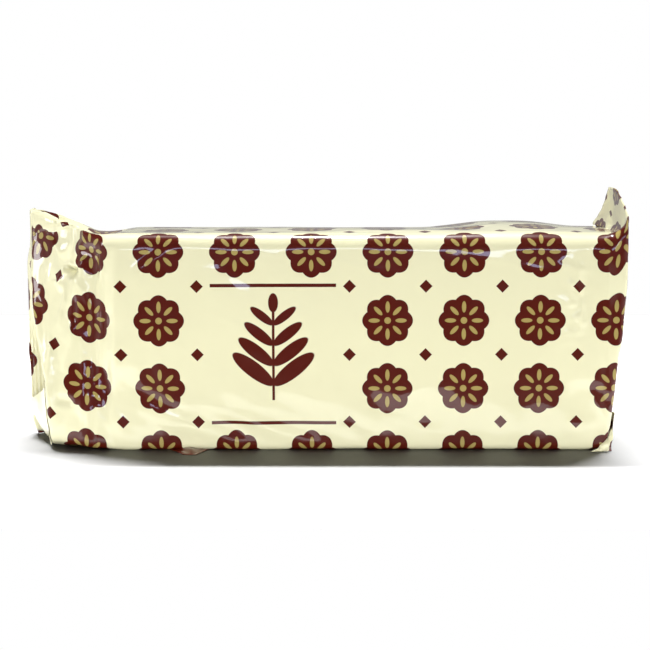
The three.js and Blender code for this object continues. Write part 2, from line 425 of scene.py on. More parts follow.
        pillow = along < self.loaf_start
        place[pillow] = self.pillow(along, y, z, spread, front)[pillow]

        # At the right end the sides close over the end face, and the top stands up as the ear.
        past = x - self.end_x(z)
        ended = past > 0
        seal_y, seal_z = self.right_seal(spread, front)
        share = np.clip(past / (sizes.end_film + self.loaf_right - self.end_x(z)), 0, 1)
        closed_z = z * (1 - share) + seal_z * share
        end_x = self.end_x(closed_z) + 1.2 * MM * np.sin(share * math.pi / 2)
        closed = np.stack([end_x, y * (1 - share) + seal_y * share, closed_z], 1)
        place[ended] = closed[ended]
        ear, stands = self.ear_place(spread, front, past)
        standing = ended & (spread < self.half_depth)
        place[standing] = ear[standing]
        place[:, 1] += self.middle_y
        return place, standing & stands


def deselect_all():
    if bpy.context.mode != "OBJECT":
        bpy.ops.object.mode_set(mode="OBJECT")
    bpy.ops.object.select_all(action="DESELECT")


def activate(piece):
    deselect_all()
    piece.select_set(True)
    bpy.context.view_layer.objects.active = piece


def positions(mesh):
    flat = np.zeros(len(mesh.vertices) * 3, np.float32)
    mesh.vertices.foreach_get("co", flat)
    return flat.reshape(-1, 3).astype(float)


def set_positions(mesh, place):
    mesh.vertices.foreach_set("co", place.astype(np.float32).ravel())
    mesh.update()


def attribute(mesh, name):
    values = np.zeros(len(mesh.vertices), np.float32)
    mesh.attributes[name].data.foreach_get("value", values)
    return values.astype(float)


def push_out(mesh, heights):
    """Moves the mesh's points out along their normals, each by its own height."""
    normals = np.zeros(len(mesh.vertices) * 3, np.float32)
    mesh.vertices.foreach_get("normal", normals)
    set_positions(mesh, positions(mesh) + normals.reshape(-1, 3) * heights[:, None])


def set_film_map(mesh, along, around):
    """Makes the mesh's UV map hold its points' places on the flat film."""
    loop_vertex = np.zeros(len(mesh.loops), np.int32)
    mesh.loops.foreach_get("vertex_index", loop_vertex)
    uv = np.stack([along, around], 1)[loop_vertex]
    mesh.uv_layers.active.data.foreach_set("uv", uv.astype(np.float32).ravel())
    mesh.uv_layers.active.name = FILM_MAP


def add_grid(columns, rows):
    """A flat grid, and how far across and up it each of its points lies, from 0 to 1."""
    deselect_all()
    bpy.ops.mesh.primitive_grid_add(x_subdivisions=columns, y_subdivisions=rows, size=1, calc_uvs=True)
    grid = bpy.context.object
    place = positions(grid.data)
    return grid, place[:, 0] + 0.5, place[:, 1] + 0.5


def weld(piece, distance):
    """Merges the piece's points that lie on each other."""
    activate(piece)
    bpy.ops.object.mode_set(mode="EDIT")
    bpy.ops.mesh.select_all(action="SELECT")
    bpy.ops.mesh.remove_doubles(threshold=distance)
    bpy.ops.object.mode_set(mode="OBJECT")


def add_to_group(group, chosen, weight=1.0):
    """Adds the points that are chosen to a vertex group."""
    group.add([int(point) for point in np.nonzero(chosen)[0]], weight, "REPLACE")


def column_places(layout):
    """Where the flat grid's columns stand along the sheet: close together in the fin, so that its
    crimps are real ridges, and at both ends, where the film creases."""
    sizes = layout.sizes
    stretches = (
        (0, layout.pillow_start, 0.7 * MM),
        (layout.pillow_start, layout.loaf_start + 20 * MM, sizes.fine_step),
        (layout.loaf_start + 20 * MM, layout.end_start - 30 * MM, sizes.long_step),
        (layout.end_start - 30 * MM, layout.length, sizes.fine_step),
    )
    places = [np.zeros(1)]
    for start, end, step in stretches:
        places.append(np.linspace(start, end, round((end - start) / step) + 1)[1:])
    return np.concatenate(places)


def flat_sheet(layout):
    """The film as it was cut: a flat grid whose points know their place on the sheet."""
    columns = column_places(layout)
    rows = 4 * round(layout.girth / layout.sizes.round_step / 4)
    sheet, across, up = add_grid(len(columns) - 1, rows)
    along = columns[np.round(across * (len(columns) - 1)).astype(int)]
    around = up * layout.girth
    for name, values in (("along", along), ("around", around)):
        known = sheet.data.attributes.new(name, "FLOAT", "POINT")
        known.data.foreach_set("value", values.astype(np.float32))
    set_film_map(sheet.data, along, around)
    return sheet


def spread_of(layout, mesh):
    """Along, spread and front of each point."""
    turned = attribute(mesh, "around") - layout.girth / 4
    turned = np.where(turned > layout.half_girth, turned - layout.girth, turned)
    return attribute(mesh, "along"), np.abs(turned), np.where(turned >= 0, 1.0, -1.0)


def join_back_seam(sheet, layout):
    """Rolls the sheet into a straight sleeve and welds its two long edges."""
    set_positions(sheet.data, layout.straight(*spread_of(layout, sheet.data)))
    weld(sheet, WELD_DISTANCE)


def unevenness(x, z):
    """A few long soft waves, for the loaf's uneven sides, mostly from -1 to 1."""
    draw = np.random.default_rng(11)
    waves = 9
    total = 0
    for _ in range(waves):
        length = draw.uniform(26, 75) * MM
        angle = draw.uniform(0, 2 * math.pi)
        phase = draw.uniform(0, 2 * math.pi)
        total = total + np.sin((x * math.cos(angle) + z * math.sin(angle)) * 2 * math.pi / length + phase)
    return total / (waves / 2)


def loaf_former(layout, scale):
    """The loaf, as the shape that the film settles on."""
    inset = 0.5 * MM
    columns, rows = 90, 120
    former, run, up = add_grid(columns, rows)
    from_top = (up - 0.5) * layout.girth
    y, z = layout.ring(np.abs(from_top), np.where(from_top >= 0, 1.0, -1.0))
    x = layout.loaf_left + run * (layout.end_x(z) - inset - layout.loaf_left)
    y, z = layout.shaped(x, y, z)
    # The corners of the loaf's two ends are rounded.
    edge = 8 * MM
    near = np.minimum(x - layout.loaf_left, layout.end_x(z) - x)
    rounding = np.clip(1 - near / edge, 0, 1) ** 2 * edge * 0.45
    y *= 1 - (inset + rounding) / layout.half_depth
    y -= np.sign(y) * layout.sizes.unevenness * (0.5 + 0.5 * unevenness(x, z + y))
    middle = layout.height / 2
    z = middle + (z - middle) * (1 - (inset + rounding) / middle)
    set_positions(former.data, np.stack([x, y + layout.middle_y, z], 1) * scale)
    weld(former, WELD_DISTANCE * scale)
    bpy.ops.object.mode_set(mode="EDIT")
    bpy.ops.mesh.select_all(action="DESELECT")
    bpy.ops.mesh.select_non_manifold(
        extend=False,
        use_wire=False,
        use_boundary=True,
        use_multi_face=False,
        use_non_contiguous=False,
        use_verts=False,
    )
    bpy.ops.mesh.fill()
    bpy.ops.mesh.select_all(action="SELECT")
    bpy.ops.mesh.normals_make_consistent(inside=False)
    bpy.ops.object.mode_set(mode="OBJECT")
    return former


def make_collider(piece):
    """Lets the film rest on the piece while it settles."""
    activate(piece)
    bpy.ops.object.modifier_add(type="COLLISION")
    piece.collision.thickness_outer = 0.002
    piece.collision.thickness_inner = 0.05
    piece.collision.cloth_friction = 3


def pinches(layout):
    """Where the film is caught: along, spread, front, reach along and across, and the shift."""
    left = layout.loaf_start
    edge = layout.half_depth
    return (
        (left - 23 * MM, edge + 19 * MM, 1, 5 * MM, 1.6 * MM, (3.5 * MM, 6.0 * MM, 0)),
        (left - 30 * MM, edge + 27 * MM, 1, 2.2 * MM, 2.2 * MM, (-1.5 * MM, -2.0 * MM, 0)),
        (left - 20 * MM, edge + 38 * MM, 1, 1.5 * MM, 6 * MM, (1.0 * MM, 2.2 * MM, 0)),
        (left - 26 * MM, 14 * MM, 1, 2.5 * MM, 4 * MM, (0, 0, -3.5 * MM)),
        (left - 24 * MM, edge + 86 * MM, 1, 4 * MM, 1.5 * MM, (1.5 * MM, 2.5 * MM, 0)),
    )


def add_cloth(sheet, flat_lengths, frames):
    """Makes the sheet a light, stiff film that keeps its flat lengths, is held at its seals and has
    some air in its pillow."""
    cloth = sheet.modifiers.new("film", "CLOTH")
    film = cloth.settings
    film.rest_shape_key = flat_lengths
    film.vertex_group_mass = "seals"
    film.quality = 5
    film.mass = 0.1
    film.tension_stiffness = film.compression_stiffness = 80
    film.shear_stiffness = 40
    film.bending_stiffness = 0.5
    film.effector_weights.gravity = 0.1
    film.use_pressure = True
    film.uniform_pressure_force = 1.0
    film.vertex_group_pressure = "air"
    cloth.collision_settings.distance_min = 0.004
    cloth.point_cache.frame_end = frames
    return cloth


def held_back(place, folded):
    """Keeps each settled point near its place in the folded film, and lays the foot on the surface."""
    stray = place - folded
    length = np.linalg.norm(stray, axis=1, keepdims=True)
    most, tiny = 22 * MM, 1e-9
    place = folded + stray * np.minimum(1, most / np.maximum(length, tiny))
    lowest, foot_height = 0.1 * MM, 12 * MM
    sunk = 1.2 * MM * (1 - smooth_step(place[:, 2], 0, foot_height))
    place[:, 2] = np.maximum(lowest, place[:, 2] - sunk)
    return place


def settle(sheet, layout):
    """Lets the folded film settle round the loaf, and gives its points in place. It is simulated at
    ten times its size, because the solver's smallest distances suit larger things."""
    scale = 10.0
    mesh = sheet.data
    along, spread, front = spread_of(layout, mesh)
    folded, standing = layout.folded(along, spread, front)
    held = (along < layout.pillow_start + 0.1 * MM) | (along > layout.length - 0.1 * MM)
    held |= standing
    held |= layout.on_fold(along, folded[:, 2], spread, front)
    for at_along, at_spread, at_front, reach_along, reach_across, shift in pinches(layout):
        near = np.hypot((along - at_along) / reach_along, (spread - at_spread) / reach_across) < 1
        near &= front == at_front
        folded[near] += shift
        held |= near
    set_positions(mesh, folded * scale)
    sheet.shape_key_add(name="folded")
    flat = sheet.shape_key_add(name="flat lengths")
    flat.data.foreach_set("co", (layout.straight(along, spread, front) * scale).astype(np.float32).ravel())
    flat.value = 0
    seals = sheet.vertex_groups.new(name="seals")
    add_to_group(seals, held)
    puffed = (folded[:, 0] < layout.loaf_left - 1 * MM) & ~held
    air = sheet.vertex_groups.new(name="air")
    add_to_group(air, puffed)

    former = loaf_former(layout, scale)
    make_collider(former)
    deselect_all()
    bpy.ops.mesh.primitive_plane_add(size=8, location=(0, 0, 0))
    floor = bpy.context.object
    make_collider(floor)

    cloth = add_cloth(sheet, flat, layout.sizes.frames)
    for step in range(1, layout.sizes.frames + 1):
        bpy.context.scene.frame_set(step)
    settled = bpy.data.meshes.new_from_object(sheet.evaluated_get(bpy.context.evaluated_depsgraph_get()))
    place = positions(settled) / scale
    bpy.data.meshes.remove(settled)
    for helper in (former, floor):
        bpy.data.objects.remove(helper)
    bpy.context.scene.frame_set(1)
    sheet.modifiers.remove(cloth)
    sheet.shape_key_clear()
    sheet.vertex_groups.clear()
    if not np.isfinite(place).all():
        raise RuntimeError("the film's simulation failed")
    return held_back(place, folded)


def close_end(sheet, layout, edge_along):
    """Zips the front and the back of the film together along a cut edge."""
    shape = bmesh.new()
    shape.from_mesh(sheet.data)
    along = shape.verts.layers.float["along"]
    around = shape.verts.layers.float["around"]
    uv = shape.loops.layers.uv[FILM_MAP]
    edge = [v for v in shape.verts if abs(v[along] - edge_along) < 0.1 * MM]
    sides = {1: [], -1: []}
    for vertex in edge:
        turned = vertex[around] - layout.girth / 4
        turned = turned - layout.girth if turned > layout.half_girth else turned
        ends = abs(turned) < 1e-6 or abs(abs(turned) - layout.half_girth) < 1e-6
        for side in (1, -1):
            if ends or side * turned > 0:
                sides[side].append((abs(turned), vertex))
    front, back = ([v for _, v in sorted(sides[side], key=lambda item: item[0])] for side in (1, -1))
    made = []
    for k in range(len(front) - 1):
        corners = [front[k], front[k + 1], back[k + 1], back[k]]
        corners = [v for i, v in enumerate(corners) if v not in corners[:i]]
        made.append(shape.faces.new(corners))
    for face in made:
        for loop in face.loops:
            loop[uv].uv = (loop.vert[along], loop.vert[around])
    shape.to_mesh(sheet.data)
    shape.free()
    sheet.data.update()


def signed_volume(mesh):
    """The volume that the mesh encloses, less than 0 where its faces point inwards."""
    place = positions(mesh)
    mesh.calc_loop_triangles()
    corners = np.zeros(len(mesh.loop_triangles) * 3, np.int32)
    mesh.loop_triangles.foreach_get("vertices", corners)
    a, b, c = (place[corners.reshape(-1, 3)[:, k]] for k in range(3))
    return float(np.einsum("ij,ij->i", a, np.cross(b, c)).sum() / 6)


def face_outwards(piece):
    activate(piece)
    bpy.ops.object.mode_set(mode="EDIT")
    bpy.ops.mesh.select_all(action="SELECT")
    bpy.ops.mesh.normals_make_consistent(inside=False)
    bpy.ops.object.mode_set(mode="OBJECT")
    if signed_volume(piece.data) < 0:
        piece.data.flip_normals()


def add_modifier(piece, kind, **settings):
    """Adds a modifier to the piece, and applies it."""
    activate(piece)
    bpy.ops.object.modifier_add(type=kind)
    modifier = piece.modifiers[-1]
    for name, value in settings.items():
        setattr(modifier, name, value)
    bpy.ops.object.modifier_apply(modifier=modifier.name)


def crumple(piece, weights, size, depth):
    """Presses sharp-edged facets into the film, as deep as the weights say."""
    group = piece.vertex_groups.new(name="crumpled")
    for tenths in range(1, 11):
        add_to_group(group, np.round(weights * 10) == tenths, tenths / 10)
    texture = bpy.data.textures.new("facets", "VORONOI")
    texture.noise_scale = size
    texture.weight_1, texture.weight_2 = -1.0, 1.0
    add_modifier(
        piece, "DISPLACE", texture=texture, texture_coords="LOCAL", vertex_group="crumpled",
        strength=depth, mid_level=0.35,
    )
    piece.vertex_groups.clear()
    bpy.data.textures.remove(texture)


def slacken(piece, layout):
    """Gives the panels the long soft waves of slack film, deeper towards the pillow. Their edges stay
    taut."""
    along, spread, front = spread_of(layout, piece.data)
    down = spread - layout.half_depth
    near_foot = smooth_step(down, layout.height - 14 * MM, layout.height)
    taut = smooth_step(down, 5 * MM, 22 * MM) * (1 - 0.8 * near_foot)
    near_pillow = 1 - smooth_step(along, layout.loaf_start + 50 * MM, layout.loaf_start + 120 * MM)
    near_end = smooth_step(along, layout.end_start - 50 * MM, layout.end_start - 15 * MM)
    draw = np.random.default_rng(29)
    total = np.zeros(len(along))
    for _ in range(14):
        length = draw.uniform(17, 48) * MM
        angle, phase = draw.uniform(0, 2 * math.pi, 2)
        across = along * math.cos(angle) + down * math.sin(angle)
        total += np.sin(across * 2 * math.pi / length + phase + front) * length / (48 * MM)
    depth = layout.sizes.slack * (0.55 + 0.75 * near_pillow + 0.4 * near_end)
    depth *= taut * layout.clear_of_seals(along)
    push_out(piece.data, np.tanh(total / 2) * depth)


def press_creases(piece, layout, creases):
    """Raises creases in the film. Each is on the front, side 1, or on the back, side -1. It runs
    nearly straight between two points, given in mm along from the loaf's end at origin and in mm
    down from its upper edge, and has a width and a rise in mm."""
    along, spread, front = spread_of(layout, piece.data)
    height = np.zeros(len(along))
    for side, origin, start, end, width, rise in creases:
        first, second = np.array(start) * MM, np.array(end) * MM
        run = second - first
        at = np.stack([along - origin, spread - layout.half_depth], 1) - first
        share = np.clip(at @ run / (run @ run), 0, 1)
        wander = 0.6 * MM * np.sin(share * 9 + width * 5)
        across = (at[:, 0] * run[1] - at[:, 1] * run[0]) / np.linalg.norm(run) + wander
        beyond = np.linalg.norm(at - share[:, None] * run, axis=1)
        near = np.exp(-np.maximum(np.abs(across), beyond - 0.8 * MM) / (width * MM))
        taper = np.sin(math.pi * np.clip(0.12 + 0.83 * share, 0, 1)) ** 0.7
        height += np.where(front == side, near * taper * rise * MM, 0)
    push_out(piece.data, height)


def film_creases(layout):
    """The creases that the bag machine and handling left: a star round the pinch in the pillow,
    pleats over the loaf's left end, and soft ones on the panels."""
    left, right = layout.loaf_start, layout.end_start
    return (
        (1, left, (-23, 19), (-27, 1), 1.3, 1.7),
        (1, left, (-24, 18), (-44, 6), 1.4, 1.3),
        (1, left, (-25, 20), (-42, 30), 1.5, 1.3),
        (1, left, (-25, 21), (-29, 46), 1.3, 1.9),
        (1, left, (-21, 20), (-9, 36), 1.4, 1.1),
        (1, left, (-21, 18), (-6, 5), 1.4, 1.2),
        (1, left, (-22, 24), (-20, 62), 2.0, 0.7),
        (1, left, (-2, 4), (-6, 108), 1.8, 1.3),
        (1, left, (-9, 30), (-11, 110), 1.6, 1.2),
        (1, left, (-15, 48), (-13, 106), 1.6, 0.9),
        (1, left, (6, 10), (3, 100), 2.6, 0.7),
        (1, left, (-36, 44), (-30, 96), 1.5, 0.8),
        (1, left, (-42, 8), (-38, 52), 1.4, 0.7),
        (1, left, (-27, 4), (-27, -26), 1.8, 1.2),
        (1, left, (-16, 2), (-14, -30), 2.0, 0.9),
        (1, left, (-38, 0), (-36, -24), 1.6, 0.9),
        (1, left, (22, 90), (52, 106), 2.4, 0.5),
        (1, left, (36, 52), (58, 66), 3.0, 0.45),
        (1, left, (58, 36), (78, 48), 2.6, 0.5),
        (1, left, (60, 14), (96, 6), 3.0, 0.4),
        (1, left, (120, 10), (160, 17), 3.2, 0.4),
        (1, left, (196, 8), (246, 17), 3.0, 0.45),
        (1, left, (150, 92), (190, 104), 3.4, 0.4),
        (1, right, (-31, 12), (-27, 36), 1.5, 0.6),
        (1, right, (-24, 16), (-22, 50), 1.4, 0.6),
        (1, right, (-33, 12), (-20, 15), 3.0, 1.2),
        (1, right, (-30, 21), (-21, 25), 2.8, 1.3),
        (1, right, (-34, 30), (-24, 33), 3.2, 1.4),
        (1, right, (-28, 39), (-19, 42), 2.8, 1.3),
        (1, right, (-33, 48), (-22, 46), 3.0, 1.2),
        (1, right, (-38, 54), (-16, 50), 1.6, 0.5),
        (1, right, (-10, 6), (-6, 84), 1.8, 0.5),
        (1, right, (-14, 80), (-3, 108), 1.6, 0.7),
        (1, right, (-12, 3), (2, -16), 1.6, 0.6),
        (-1, left, (-22, 18), (-26, 2), 1.4, 1.0),
        (-1, left, (-22, 20), (-40, 34), 1.5, 0.9),
        (-1, left, (-3, 6), (-6, 100), 1.8, 0.8),
        (-1, left, (-12, 30), (-14, 104), 1.7, 0.8),
        (-1, right, (-20, 10), (-6, 60), 2.0, 0.6),
        (-1, right, (-60, 90), (-8, 104), 3.0, 0.5),
    )


def finish_piece(piece, name, thickness=0):
    """Smooth, finely divided and printed, riding with the pack."""
    piece.name = piece.data.name = name
    if thickness:
        add_modifier(piece, "SOLIDIFY", thickness=thickness, offset=0)
    add_modifier(piece, "SUBSURF", levels=1, render_levels=1)
    activate(piece)
    bpy.ops.object.shade_smooth()
    piece.data.materials.clear()
    piece.data.materials.append(film_material())
    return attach(piece, "root")


def between(corners, across, up):
    """A point of the sheet between four corners, given round from its lower left one."""
    first, second, third, fourth = (np.array(corner) * MM for corner in corners)
    across, up = across[:, None], up[:, None]
    lower = first * (1 - across) + second * across
    upper = fourth * (1 - across) + third * across
    return lower * (1 - up) + upper * up


def film_patch(name, place_at, film_at, columns, rows, over=None, pressed=(0, 0)):
    """A small separate sheet of film. Across and up run from 0 to 1 over it, and place_at and
    film_at give its place and its print for them. Over is the piece that it keeps clear of, and
    pressed says how closely its first and its last side are drawn to that piece."""
    piece, across, up = add_grid(columns, rows)
    set_positions(piece.data, np.stack(place_at(across, up), 1))
    set_film_map(piece.data, *film_at(across, up))
    clear = {"target": over, "offset": 0.6 * MM}
    if any(pressed):
        group = piece.vertex_groups.new(name="pressed")
        share = pressed[0] + (pressed[1] - pressed[0]) * smooth_step(across, 0.15, 0.85)
        for point, weight in enumerate(share):
            group.add([point], float(weight), "REPLACE")
        add_modifier(piece, "SHRINKWRAP", wrap_mode="ABOVE_SURFACE", vertex_group="pressed", **clear)
        piece.vertex_groups.clear()
    if over:
        add_modifier(piece, "SHRINKWRAP", wrap_mode="OUTSIDE", **clear)
    place = positions(piece.data)
    place[:, 2] = np.maximum(place[:, 2], PATCH_THICKNESS)
    set_positions(piece.data, place)
    return finish_piece(piece, name, PATCH_THICKNESS)


class Nodes:
    """Shorthand for a material's maths. A value is a socket or a number."""

    def __init__(self, tree):
        self.tree = tree

    def link(self, value, socket):
        if isinstance(value, bpy.types.NodeSocket):
            self.tree.links.new(value, socket)
        else:
            socket.default_value = value

    def math(self, operation, *values):
        node = self.tree.nodes.new("ShaderNodeMath")
        node.operation = operation
        for value, socket in zip(values, node.inputs):
            self.link(value, socket)
        return node.outputs[0]

    def ramp(self, value, start, end, first, last):
        """A smooth climb from first to last, while value goes from start to end."""
        node = self.tree.nodes.new("ShaderNodeMapRange")
        node.interpolation_type = "SMOOTHSTEP"
        for given, socket in zip((value, start, end, first, last), node.inputs[:5]):
            self.link(given, socket)
        return node.outputs[0]

    def fill(self, distance):
        """1 inside a shape and 0 outside, from the distance to its edge, with a soft inked rim."""
        return self.ramp(distance, -0.12 * MM, 0.12 * MM, 1.0, 0.0)

    def mix(self, share, first, second):
        node = self.tree.nodes.new("ShaderNodeMix")
        node.data_type = "RGBA"
        self.link(share, node.inputs["Factor"])
        for value, socket in ((first, node.inputs["A"]), (second, node.inputs["B"])):
            self.link(value if isinstance(value, bpy.types.NodeSocket) else (*value, 1), socket)
        return node.outputs["Result"]

    def repeat(self, value, size):
        """The distance from the middle of the repeat that value falls in."""
        return self.math("SUBTRACT", self.math("FLOORED_MODULO", value, size), size / 2)

    def length(self, x, y):
        return self.math("SQRT", self.math("ADD", self.math("POWER", x, 2.0), self.math("POWER", y, 2.0)))

    def oval(self, x, y, half_length, half_width):
        """Roughly the distance to the edge of an oval."""
        reach = self.length(self.math("DIVIDE", x, half_length), self.math("DIVIDE", y, half_width))
        return self.math("MULTIPLY", self.math("SUBTRACT", reach, 1.0), min(half_length, half_width))

    def bar(self, off_x, off_y, reach_x, reach_y):
        """The distance to the edge of a bar, from how far off its middle lines a point lies."""
        past_x = self.math("SUBTRACT", off_x, reach_x)
        return self.math("MAXIMUM", past_x, self.math("SUBTRACT", off_y, reach_y))

    def outside(self, x, y, reach_x, reach_y):
        """1 outside a rectangle round the middle, and 0 inside it."""
        past_x = self.math("GREATER_THAN", self.math("ABSOLUTE", x), reach_x)
        past_y = self.math("GREATER_THAN", self.math("ABSOLUTE", y), reach_y)
        return self.math("MAXIMUM", past_x, past_y)

    def noise(self, place, scale, detail=2.0):
        node = self.tree.nodes.new("ShaderNodeTexNoise")
        for socket, value in (("Vector", place), ("Scale", scale), ("Detail", detail)):
            self.link(value, node.inputs[socket])
        return node.outputs["Fac"]


def turned(nodes, x, y, angle):
    """x and y after a turn by angle."""
    cos, sin = math.cos(angle), math.sin(angle)
    across = nodes.math("ADD", nodes.math("MULTIPLY", x, cos), nodes.math("MULTIPLY", y, sin))
    up = nodes.math("SUBTRACT", nodes.math("MULTIPLY", y, cos), nodes.math("MULTIPLY", x, sin))
    return across, up


def rosette(nodes, x, y, radius):
    """A disc with eight lobes, and the ring of seeds inside it."""
    away = nodes.length(x, y)
    angle = nodes.math("ARCTAN2", y, x)
    lobe = nodes.math("ABSOLUTE", nodes.math("COSINE", nodes.math("MULTIPLY", angle, 4.0)))
    rim = nodes.math("ADD", radius * 0.87, nodes.math("MULTIPLY", lobe, radius * 0.13))
    disc = nodes.fill(nodes.math("SUBTRACT", away, rim))
    eighth = math.pi / 4
    folded = nodes.repeat(nodes.math("ADD", angle, eighth / 2), eighth)
    seed_x = nodes.math("SUBTRACT", nodes.math("MULTIPLY", away, nodes.math("COSINE", folded)), radius * 0.53)
    seed_y = nodes.math("MULTIPLY", away, nodes.math("SINE", folded))
    seeds = nodes.fill(nodes.oval(seed_x, seed_y, radius * 0.22, radius * 0.085))
    heart = nodes.fill(nodes.math("SUBTRACT", away, radius * 0.13))
    return disc, nodes.math("MAXIMUM", seeds, heart)


def sprig(nodes, x, y):
    """An upright sprig with paired leaves between two rules."""
    side = nodes.math("ABSOLUTE", x)
    off_middle = nodes.math("ABSOLUTE", y)
    drawn = nodes.fill(nodes.bar(side, off_middle, 0.7 * MM, 24 * MM))
    for k in range(4):
        height = (-16 + 10.5 * k) * MM
        length = (13.5 - 2.0 * k) * MM
        leaf_x, leaf_y = turned(nodes, side, nodes.math("SUBTRACT", y, height), math.radians(38))
        leaf = nodes.fill(nodes.oval(nodes.math("SUBTRACT", leaf_x, length), leaf_y, length, length * 0.3))
        drawn = nodes.math("MAXIMUM", drawn, leaf)
    bud = nodes.fill(nodes.oval(nodes.math("SUBTRACT", y, 27 * MM), x, 5 * MM, 2.6 * MM))
    drawn = nodes.math("MAXIMUM", drawn, bud)
    off_rule = nodes.math("ABSOLUTE", nodes.math("SUBTRACT", off_middle, 36 * MM))
    rules = nodes.fill(nodes.bar(side, off_rule, 33 * MM, 0.9 * MM))
    return nodes.math("MAXIMUM", drawn, rules)


def film_print(nodes, along, around):
    """The film's print: rosettes and lozenges in rows all over it, which make room on the front
    panel for one sprig."""
    inks = bpy.context.scene.halva_print
    layout = FilmLayout(bpy.context.scene.halva_film)
    sprig_along = layout.loaf_start + 89 * MM
    sprig_around = layout.girth / 2 + 5 * MM
    step_x, step_y = inks.repeat_along, inks.repeat_around
    x = nodes.math("SUBTRACT", along, sprig_along)
    y = nodes.math("SUBTRACT", sprig_around, around)
    disc, seeds = rosette(nodes, nodes.repeat(x, step_x), nodes.repeat(y, step_y), inks.rosette_radius)
    gap_x = nodes.repeat(nodes.math("ADD", x, step_x / 2), step_x)
    gap_y = nodes.repeat(nodes.math("ADD", y, step_y / 2), step_y)
    off_gap = nodes.math("ADD", nodes.math("ABSOLUTE", gap_x), nodes.math("ABSOLUTE", gap_y))
    lozenge = nodes.fill(nodes.math("SUBTRACT", off_gap, 3.4 * MM))
    rosettes = nodes.outside(x, y, step_x - 0.1 * MM, step_y - 0.1 * MM)
    lozenges = nodes.outside(x, y, step_x * 0.7, step_y * 1.3)
    brown = nodes.math("MULTIPLY", disc, rosettes)
    brown = nodes.math("MAXIMUM", brown, nodes.math("MULTIPLY", lozenge, lozenges))
    brown = nodes.math("MAXIMUM", brown, sprig(nodes, x, y))
    gold = nodes.math("MULTIPLY", seeds, rosettes)
    return nodes.mix(gold, nodes.mix(brown, tuple(inks.cream), tuple(inks.brown)), tuple(inks.gold))


def new_material(name, **sockets):
    """A new material with some of its shader's sockets set, and its node tree and shader."""
    material = bpy.data.materials.new(name)
    material.use_nodes = True
    shader = material.node_tree.nodes["Principled BSDF"]
    for socket, value in sockets.items():
        shader.inputs[socket.replace("_", " ")].default_value = value
    return material, material.node_tree, shader


def film_material():
    """Glossy film printed in brown and gold on cream, in the film's own flat coordinates."""
    known = bpy.data.materials.get("printed film")
    if known:
        return known
    material, tree, shader = new_material(
        "printed film",
        Roughness=0.32,
        Specular_IOR_Level=0.2,
        Coat_Weight=1.0,
        Coat_Roughness=0.04,
        Coat_IOR=1.5,
    )
    nodes = Nodes(tree)
    film_map = tree.nodes.new("ShaderNodeUVMap")
    film_map.uv_map = FILM_MAP
    film_place = film_map.outputs["UV"]
    split = tree.nodes.new("ShaderNodeSeparateXYZ")
    nodes.link(film_place, split.inputs[0])
    nodes.link(film_print(nodes, split.outputs["X"], split.outputs["Y"]), shader.inputs["Base Color"])

    # The film's own unevenness: slack ripples, and the fine grain of the plastic.
    grain = nodes.math("MULTIPLY", nodes.noise(film_place, 900.0), 0.012)
    relief = nodes.math("ADD", nodes.noise(film_place, 42.0, 2.5), grain)
    bump = tree.nodes.new("ShaderNodeBump")
    for socket, value in (("Strength", 1.0), ("Distance", 0.35 * MM), ("Height", relief)):
        nodes.link(value, bump.inputs[socket])
    for socket in ("Normal", "Coat Normal"):
        nodes.link(bump.outputs["Normal"], shader.inputs[socket])
    return material


def studio_world():
    """A white surround that is dark straight in front of the pack, where its flat panel would mirror
    it, and dark overhead, so that the pack's own shadow stays deep."""
    world = bpy.data.worlds.new("studio")
    world.use_nodes = True
    tree = world.node_tree
    nodes = Nodes(tree)
    direction = tree.nodes.new("ShaderNodeTexCoord").outputs["Generated"]
    split = tree.nodes.new("ShaderNodeSeparateXYZ")
    nodes.link(direction, split.inputs[0])
    x, y, z = (split.outputs[axis] for axis in "XYZ")
    behind = nodes.ramp(y, start=-0.35, end=0.15, first=0.0, last=0.34)
    low_behind = nodes.ramp(z, start=0.3, end=0.6, first=1.0, last=0.08)
    beside = nodes.ramp(nodes.math("POWER", x, 2.0), start=0.07, end=0.2, first=0.0, last=0.45)
    low_beside = nodes.ramp(z, start=0.02, end=0.2, first=1.0, last=0.0)
    behind = nodes.math("MULTIPLY", behind, low_behind)
    beside = nodes.math("MULTIPLY", beside, low_beside)
    least = 0.03
    glow = nodes.math("ADD", nodes.math("MAXIMUM", behind, beside), least)
    seen = tree.nodes.new("ShaderNodeLightPath").outputs["Is Camera Ray"]
    strength = nodes.math("MAXIMUM", glow, seen)
    sky = tree.nodes["Background"]
    sky.inputs["Color"].default_value = (1, 1, 1, 1)
    nodes.link(strength, sky.inputs["Strength"])
    return world


